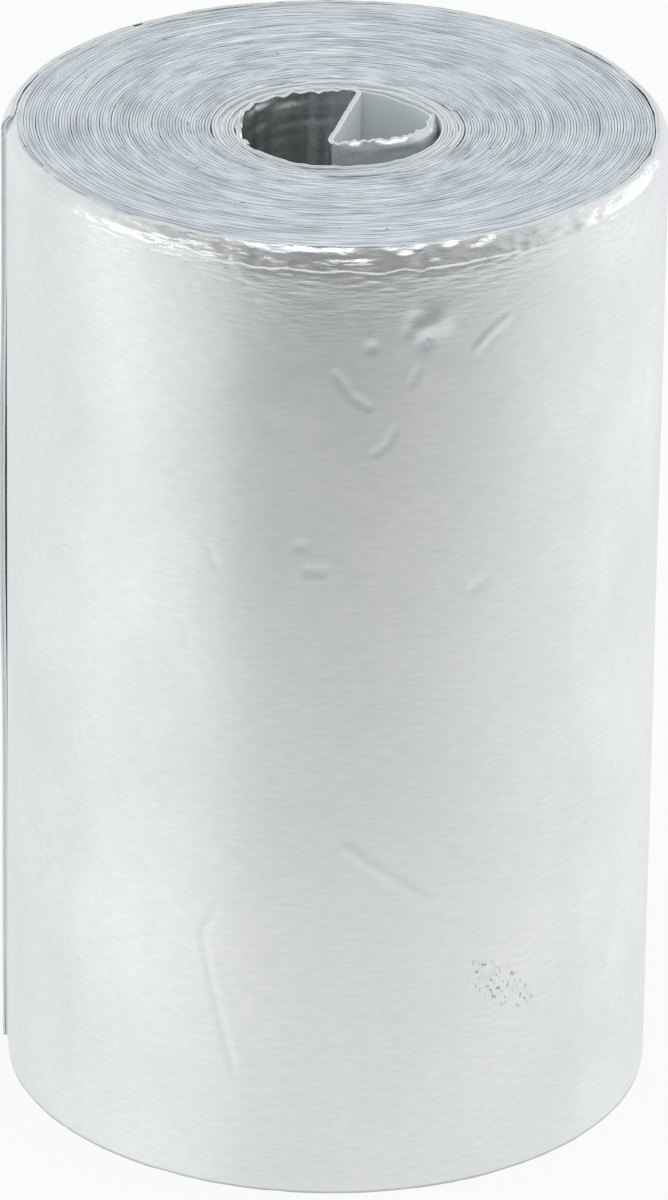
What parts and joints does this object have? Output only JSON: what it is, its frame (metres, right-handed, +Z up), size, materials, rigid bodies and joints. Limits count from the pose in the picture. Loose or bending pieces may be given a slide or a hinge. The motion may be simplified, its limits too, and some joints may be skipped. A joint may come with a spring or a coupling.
{
  "type": "foil tape roll",
  "caption": "Coreless roll of self-adhesive metal foil tape with a paper release liner, wound from an S-folded start, with a free end that lifts off the roll.",
  "frame": {"origin": "middle of the roll's lower end, on its axis", "axes": "+Z up along the roll's axis; +X to the right of the fold seen from the front, -Y to the front"},
  "size_m": [0.0323, 0.032, 0.05],
  "materials": {
    "foil": "satin",
    "adhesive": "tacky, clear",
    "packed": "edges of foil and paper, pressed tight",
    "liner": "matte paper"
  },
  "bodies": {
    "roll": {"foil_s_fold": "foil", "adhesive_s_fold": "adhesive", "liner_s_fold": "liner", "foil_eye_turns": "foil", "adhesive_eye_turns": "adhesive", "liner_eye_turns": "liner", "foil_outer_turn": "foil", "adhesive_outer_turn": "adhesive", "liner_outer_turn": "liner", "packed_turns": "packed"},
    "free_end": {"foil_free_end": "foil", "adhesive_free_end": "adhesive", "liner_free_end": "liner"}
  },
  "joints": [
    {"name": "free_end_lift", "type": "hinge", "parent": "roll", "child": "free_end", "pos_m": [-0.01035, 0.01233, 0.025], "axis": [0, 0, -1], "range_deg": [0, 100]}
  ]
}
